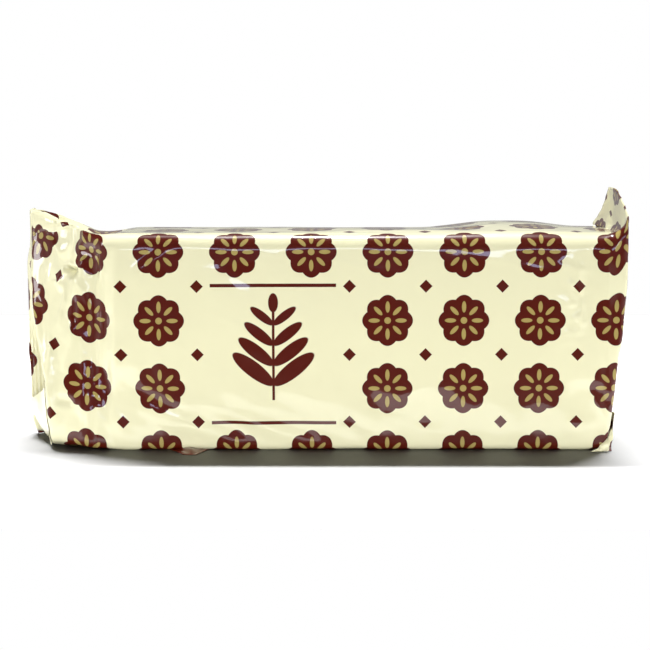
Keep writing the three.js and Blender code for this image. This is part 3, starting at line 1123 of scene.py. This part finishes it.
class HALVA_OT_film_sleeve(bpy.types.Operator):
    """Rolls, seals and settles the film round the loaf"""

    bl_idname = "object.halva_film_sleeve"
    bl_label = "Film sleeve"

    def execute(self, context):
        layout = FilmLayout(context.scene.halva_film)
        sleeve = flat_sheet(layout)
        join_back_seam(sleeve, layout)
        place = settle(sleeve, layout)
        set_positions(sleeve.data, place)
        for edge in (0, layout.length):
            close_end(sleeve, layout, edge)
        face_outwards(sleeve)
        finish_piece(sleeve, "film_sleeve")
        self.crumple_ends(sleeve, layout)
        slacken(sleeve, layout)
        press_creases(sleeve, layout, film_creases(layout))
        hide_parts(NODE)
        return {"FINISHED"}

    def crumple_ends(self, sleeve, layout):
        """Crumples both ends in coarse and fine facets, with deeper small ones round the pinch in
        the pillow and beside the panel's right edge."""
        along, spread, front = spread_of(layout, sleeve.data)
        down = spread - layout.half_depth
        left = smooth_step(layout.loaf_start - along, -12 * MM, 18 * MM)
        right = smooth_step(along, layout.end_start - 14 * MM, layout.end_start + 4 * MM)
        in_ear = (along > layout.end_start) & (spread < layout.half_depth)
        ends = np.clip(left + 0.6 * right, 0, 1) * np.where(in_ear, 0.3, 1.0)
        ends *= layout.clear_of_seals(along)
        pinch = spot(along - layout.loaf_start + 24 * MM, down - 20 * MM, 13 * MM, 13 * MM)
        edge = spot(along - layout.end_start + 23 * MM, down - 32 * MM, 7 * MM, 20 * MM)
        marked = np.where(front > 0, np.maximum(pinch, edge), 0)
        crumple(sleeve, ends, size=13 * MM, depth=1.3 * MM)
        crumple(sleeve, np.maximum(ends, marked), size=6 * MM, depth=0.45 * MM)
        crumple(sleeve, marked, size=5 * MM, depth=1.5 * MM)


class HALVA_OT_seams(bpy.types.Operator):
    """Adds the seam along the back and the end fin"""

    bl_idname = "object.halva_seams"
    bl_label = "Seams"

    def execute(self, context):
        layout = FilmLayout(context.scene.halva_film)
        self.back_seam(layout)
        self.end_fin(layout)
        return {"FINISHED"}

    def back_seam(self, layout):
        """A strip of film that lies flat along the back, copied from the sleeve under it."""
        sleeve = bpy.data.objects["film_sleeve"]
        mesh = sleeve.data
        uv = np.zeros(len(mesh.loops) * 2, np.float32)
        mesh.uv_layers[FILM_MAP].data.foreach_get("uv", uv)
        uv = uv.reshape(-1, 2)
        starts = np.zeros(len(mesh.polygons), np.int32)
        mesh.polygons.foreach_get("loop_start", starts)
        along, around = uv[starts, 0], uv[starts, 1]
        seam_left, seam_right = layout.pillow_start + 4 * MM, layout.end_start - 2 * MM
        chosen = (around < SEAM_WIDTH) & (along > seam_left) & (along < seam_right)
        activate(sleeve)
        bpy.ops.object.mode_set(mode="EDIT")
        bpy.ops.mesh.select_mode(type="FACE")
        bpy.ops.mesh.select_all(action="DESELECT")
        bpy.ops.object.mode_set(mode="OBJECT")
        mesh.polygons.foreach_set("select", chosen)
        bpy.ops.object.mode_set(mode="EDIT")
        bpy.ops.mesh.duplicate()
        bpy.ops.mesh.separate(type="SELECTED")
        bpy.ops.object.mode_set(mode="OBJECT")
        seam = next(piece for piece in bpy.context.selected_objects if piece != sleeve)
        around = attribute(seam.data, "around")
        around = np.where(around > layout.half_girth, 0, around)
        push_out(seam.data, 0.55 * MM + crimp(around, pitch=2.6 * MM, depth=0.15 * MM))
        seam.name = seam.data.name = "back_seam"
        add_modifier(seam, "SOLIDIFY", thickness=0.35 * MM, offset=0)
        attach(seam, "root")

    def end_fin(self, layout):
        """The right end's crimped fin, folded flat against the end face."""
        width = layout.sizes.fin_width
        low, high = 4 * MM, layout.sizes.ear_tip - 4 * MM

        def place_at(across, up):
            z = low + up * (high - low)
            stand = (1.6 + 0.8 * np.sin(up * 9)) * MM * (0.5 + 0.5 * across)
            x = layout.end_x(z) + stand + crimp(across * width)
            sway = 1.4 * MM * np.sin(up * 5 + 1)
            return x, -1.5 * MM + sway + across * width * (1 - 0.25 * up**6), z

        def film_at(across, up):
            return layout.length + across * width, layout.girth * 0.75 - up * (high - low)

        columns = round(width / (0.7 * MM))
        sleeve = bpy.data.objects["film_sleeve"]
        film_patch("end_fin", place_at, film_at, columns, rows=60, over=sleeve)


# The loose flaps, in mm. Corners go round from the lower left one, and bulge and ruffle are how far
# the flap swells and waves out between them. The print starts at a place on the film, given along
# from the loaf's left end and around from the back seam, and run says how far along the film it
# moves for each mm across and for each mm up the flap. Pressed says how closely the flap's two sides
# are drawn to the sleeve. The fold under the front lies below the sleeve, and is left as it is.
FLAPS = (
    dict(
        name="low_left_flap",
        corners=((-158, -4, 0.3), (-144, -40, 0.3), (-145.5, -32, 37), (-161.5, -10, 19)),
        bulge=(-2.0, -1.2, 0),
        ruffle=0.5,
        start=(0.2, 252.6),
        run=(0.25, 0),
        pressed=(0, 0.7),
    ),
    dict(
        name="low_back_flap",
        corners=((-143, 38, 0.3), (-153, 6, 0.3), (-155, 9, 13), (-145, 32, 24)),
        bulge=(-1.2, 1.0, 0),
        ruffle=0.3,
        start=(-16.4, 41.5),
        run=(1, 0),
        pressed=(1, 1),
    ),
    dict(
        name="low_right_ear",
        corners=((153.5, -41, 0.4), (156.5, -4, 0.4), (158.5, -12, 15), (159.5, -30, 18)),
        bulge=(4.0, -1.0, 0),
        ruffle=0.5,
        start=(297.5, 240.6),
        run=(0, 1),
        pressed=(0.2, 0.9),
    ),
    dict(
        name="right_pleat",
        corners=((143, -45.6, 0.2), (154.8, -44.6, 0.2), (155.2, -40.5, 12), (150, -43.3, 3.5)),
        bulge=(1.2, -1.8, 0.4),
        ruffle=1.4,
        start=(286, 250),
        run=(1, 0),
        pressed=(0, 0),
    ),
    dict(
        name="under_fold",
        corners=((-72, -51.5, 0.2), (-65.5, -52, 0.2), (-57, -37, 0.2), (-83, -37, 0.2)),
        bulge=(0, -0.8, 1.4),
        ruffle=0.5,
        start=(35.7, 251.1),
        run=(0.08, 0),
        pressed=None,
    ),
)


class HALVA_OT_flaps(bpy.types.Operator):
    """Adds the folded corners at both ends, and the fold that peeps out under the front"""

    bl_idname = "object.halva_flaps"
    bl_label = "Flaps"

    def execute(self, context):
        layout = FilmLayout(context.scene.halva_film)
        for flap in FLAPS:
            self.flap(layout, **flap)
        return {"FINISHED"}

    def flap(self, layout, name, corners, bulge, ruffle, start, run, pressed):
        width = (Vector(corners[1]) - Vector(corners[0])).length * MM
        height = (Vector(corners[3]) - Vector(corners[0])).length * MM
        over = {"over": bpy.data.objects["film_sleeve"], "pressed": pressed} if pressed else {}

        def place_at(across, up):
            swell = (np.sin(math.pi * across) * np.sin(math.pi * up))[:, None]
            wave = (np.sin(across * 11 + 4 * up) * np.sin(math.pi * up))[:, None]
            push = np.array(bulge) * MM
            direction = push / np.linalg.norm(push)
            place = between(corners, across, up) + swell * push + wave * direction * ruffle * MM
            place[:, 2] = np.maximum(place[:, 2], 0.15 * MM)
            return place.T

        def film_at(across, up):
            along = layout.loaf_start + start[0] * MM + across * width * run[0] + up * height * run[1]
            return along, start[1] * MM + up * height * run[0] - across * width * run[1]

        film_patch(name, place_at, film_at, columns=28, rows=24, **over)


class HALVA_OT_stage(bpy.types.Operator):
    """Sets up the pale floor, the soft light and the camera"""

    bl_idname = "scene.halva_stage"
    bl_label = "Stage"

    def execute(self, context):
        scene = context.scene
        floor = self.add_floor()
        scene.world = studio_world()
        self.add_lights(scene, floor)
        self.add_camera(scene)
        scene.view_settings.view_transform = "Standard"
        return {"FINISHED"}

    def add_floor(self):
        """A grey floor that the lamp over it brings to white."""
        front, back, side = node_low.y - 0.13, 0.4, 0.5
        deselect_all()
        bpy.ops.mesh.primitive_plane_add(size=1)
        floor = bpy.context.object
        floor.name = floor.data.name = "floor"
        bpy.ops.object.mode_set(mode="EDIT")
        bpy.ops.mesh.select_all(action="SELECT")
        bpy.ops.transform.resize(value=(2 * side, back - front, 1))
        bpy.ops.transform.translate(value=(0, (back + front) / 2, 0))
        bpy.ops.object.mode_set(mode="OBJECT")
        grey = new_material("floor", Base_Color=(0.2, 0.2, 0.2, 1.0), Roughness=0.6)[0]
        floor.data.materials.append(grey)
        return floor

    def add_lights(self, scene, floor):
        """The softbox and the fills light only the pack. A long lamp over the floor lights only the
        floor: white, with a deep shadow close in front of the pack that fades out at its ends. The
        cards and the window only show in the film's gloss."""
        pack = bpy.data.collections.new("pack")
        ground = bpy.data.collections.new("ground")
        ground.objects.link(floor)
        for piece in scene.objects:
            if piece.type == "MESH" and piece.name not in (floor.name, NODE):
                pack.objects.link(piece)
        aim_height = 0.06
        # Name, place, size, power, colour, whether it gives light and whether it shows in the gloss,
        # and what it lights, where that isn't everything.
        for name, place, size, power, colour, seen_by, lit in (
            ("overhead softbox", (0.0, 0.75, 2.8), (0.2, 0.12), 108.0, WHITE, (True, True), pack),
            ("floor light", (0.0, 0.9, 2.8), (2.4, 0.25), 1100.0, WHITE, (True, False), ground),
            ("left fill", (-1.2, 0.0, 0.45), (0.4, 0.4), 5.0, WHITE, (True, False), pack),
            ("right fill", (1.2, 0.0, 0.45), (0.4, 0.4), 5.0, WHITE, (True, False), pack),
            ("front fill", (0.0, -1.3, 0.05), (0.8, 0.1), 4.9, WHITE, (True, False), pack),
            ("foot fill", (0.0, -0.06, 0.002), (0.31, 0.004), 0.0115, WHITE, (True, False), pack),
            ("upper fill", (0.0, -0.5, 0.55), (1.0, 0.15), 2.1, WHITE, (True, False), pack),
            ("left card", (-1.0, -0.45, 0.55), (0.25, 0.35), 2.6, WHITE, (False, True), None),
            ("right card", (1.0, -0.35, 0.6), (0.25, 0.35), 3.5, WHITE, (False, True), None),
            ("window", (0.1, -2.0, 0.42), (1.1, 0.12), 3.0, DAYLIGHT, (False, True), None),
        ):
            deselect_all()
            bpy.ops.object.light_add(type="AREA", location=place)
            light = bpy.context.object
            light.name = name
            light.data.shape = "RECTANGLE"
            light.data.size, light.data.size_y = size
            light.data.energy = power * scene.halva_stage.light
            light.data.color = colour
            light.visible_camera = False
            light.visible_diffuse, light.visible_glossy = seen_by
            light.light_linking.receiver_collection = lit
            aim = Vector((0, 0, min(aim_height, place[2]))) - Vector(place)
            light.rotation_euler = aim.to_track_quat("-Z", "Y").to_euler()

    def add_camera(self, scene):
        settings = scene.halva_stage
        bpy.ops.object.camera_add()
        camera = bpy.context.object
        camera.name = "camera"
        front = node_low.y
        camera.location = (settings.camera_side, front - settings.camera_distance, settings.camera_height)
        camera.rotation_euler = (math.pi / 2 - settings.camera_tilt, 0, 0)
        camera.data.sensor_width = 36
        camera.data.lens = settings.lens
        camera.data.clip_start = 0.01
        scene.camera = camera


class HALVA_PT_panel(bpy.types.Panel):
    """Lists the pack's sizes, its print and its steps"""

    bl_idname = "HALVA_PT_panel"
    bl_label = "Film-wrapped halva block"
    bl_space_type = "VIEW_3D"
    bl_region_type = "UI"
    bl_category = "Halva"

    def draw(self, context):
        for group in (context.scene.halva_film, context.scene.halva_print, context.scene.halva_stage):
            box = self.layout.box()
            for name in group.bl_rna.properties.keys():
                if name not in ("rna_type", "name"):
                    box.prop(group, name)
        for operator in STEPS:
            self.layout.operator(operator.bl_idname)


SETTINGS = {
    "halva_film": HalvaFilmSettings,
    "halva_print": HalvaPrintSettings,
    "halva_stage": HalvaStageSettings,
}
STEPS = (HALVA_OT_film_sleeve, HALVA_OT_seams, HALVA_OT_flaps, HALVA_OT_stage)


def register():
    for group in SETTINGS.values():
        bpy.utils.register_class(group)
    for name, group in SETTINGS.items():
        setattr(bpy.types.Scene, name, bpy.props.PointerProperty(type=group))
    for operator in STEPS:
        bpy.utils.register_class(operator)
    bpy.utils.register_class(HALVA_PT_panel)


def unregister():
    bpy.utils.unregister_class(HALVA_PT_panel)
    for operator in reversed(STEPS):
        bpy.utils.unregister_class(operator)
    for name, group in reversed(SETTINGS.items()):
        delattr(bpy.types.Scene, name)
        bpy.utils.unregister_class(group)


def main():
    """Makes the pack and its stage."""
    register()
    bpy.ops.object.halva_film_sleeve()
    bpy.ops.object.halva_seams()
    bpy.ops.object.halva_flaps()
    bpy.ops.scene.halva_stage()
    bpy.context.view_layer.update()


if __name__ == "__main__":
    main()
